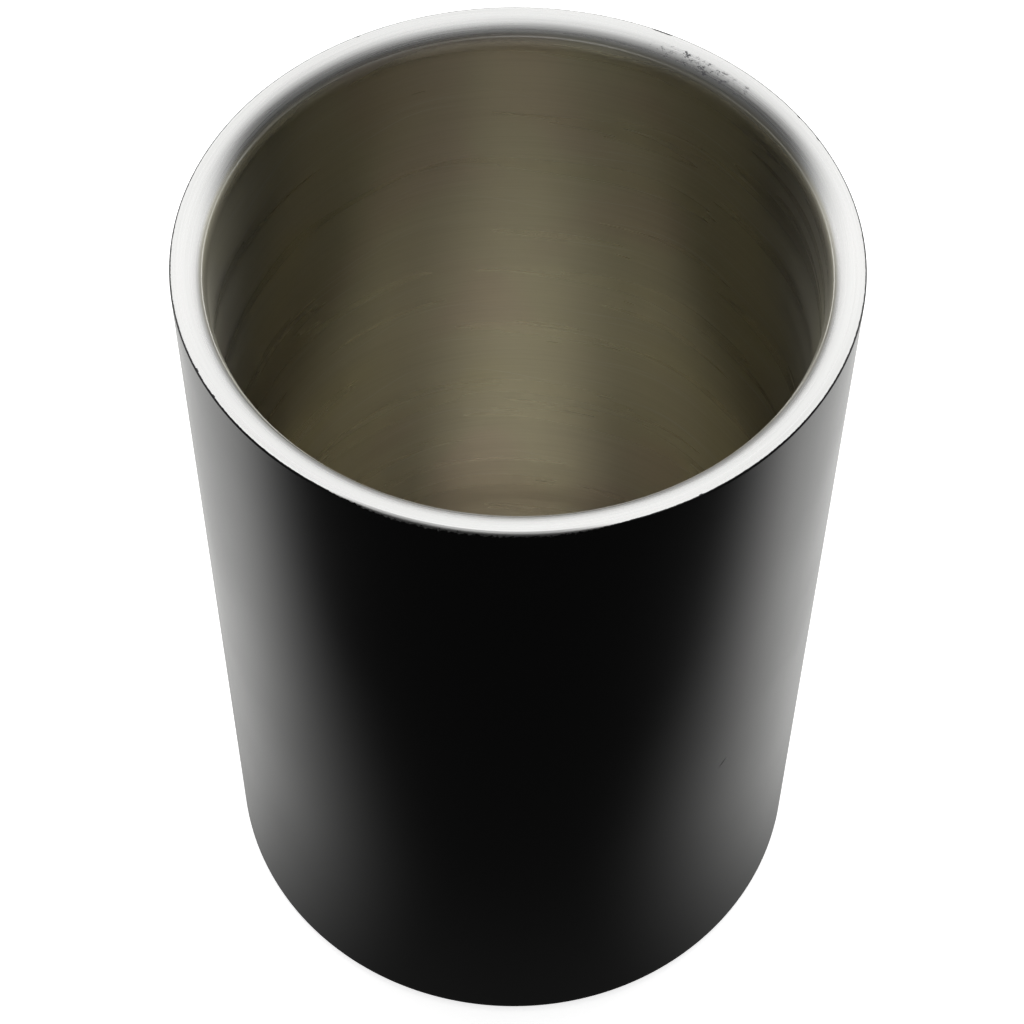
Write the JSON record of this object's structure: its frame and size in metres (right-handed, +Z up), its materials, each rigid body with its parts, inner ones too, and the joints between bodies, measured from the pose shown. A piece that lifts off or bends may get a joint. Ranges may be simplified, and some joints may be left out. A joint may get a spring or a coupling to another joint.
{
  "type": "double-walled bottle cooler",
  "caption": "Straight black double-walled steel cooler with a bare brushed inside; stands on a table and keeps a wine or champagne bottle cold.",
  "frame": {"origin": "centre of the base, on the surface that the foot ring stands on", "axes": "+Z up along the axis of the walls; +X points over the getter inside the base, and the outside looks the same all round"},
  "size_m": [0.12, 0.12, 0.175],
  "materials": {
    "coated_steel": "satin black baked coat on thin stainless sheet, bare and ground along the top edge",
    "brushed_steel": "bare stainless, brushed round the axis",
    "pressed_steel": "plain mill-finish stainless, pressed",
    "cover_steel": "stainless with a fine turned finish",
    "silicone": "matt dark silicone",
    "seal_glass": "dark green-grey sealing glass, fire polished",
    "foam_tape": "off-white closed-cell foam",
    "getter_metal": "dark grey pressed powder, matt"
  },
  "bodies": {
    "root": {"outer_shell": "coated_steel", "inner_liner": "brushed_steel", "end_cap": "pressed_steel", "foot_ring": "silicone", "sealing_glass": "seal_glass", "base_cover": "cover_steel", "cover_tape": "foam_tape", "getter_pellet": "getter_metal", "getter_retainer": "pressed_steel"}
  },
  "joints": []
}
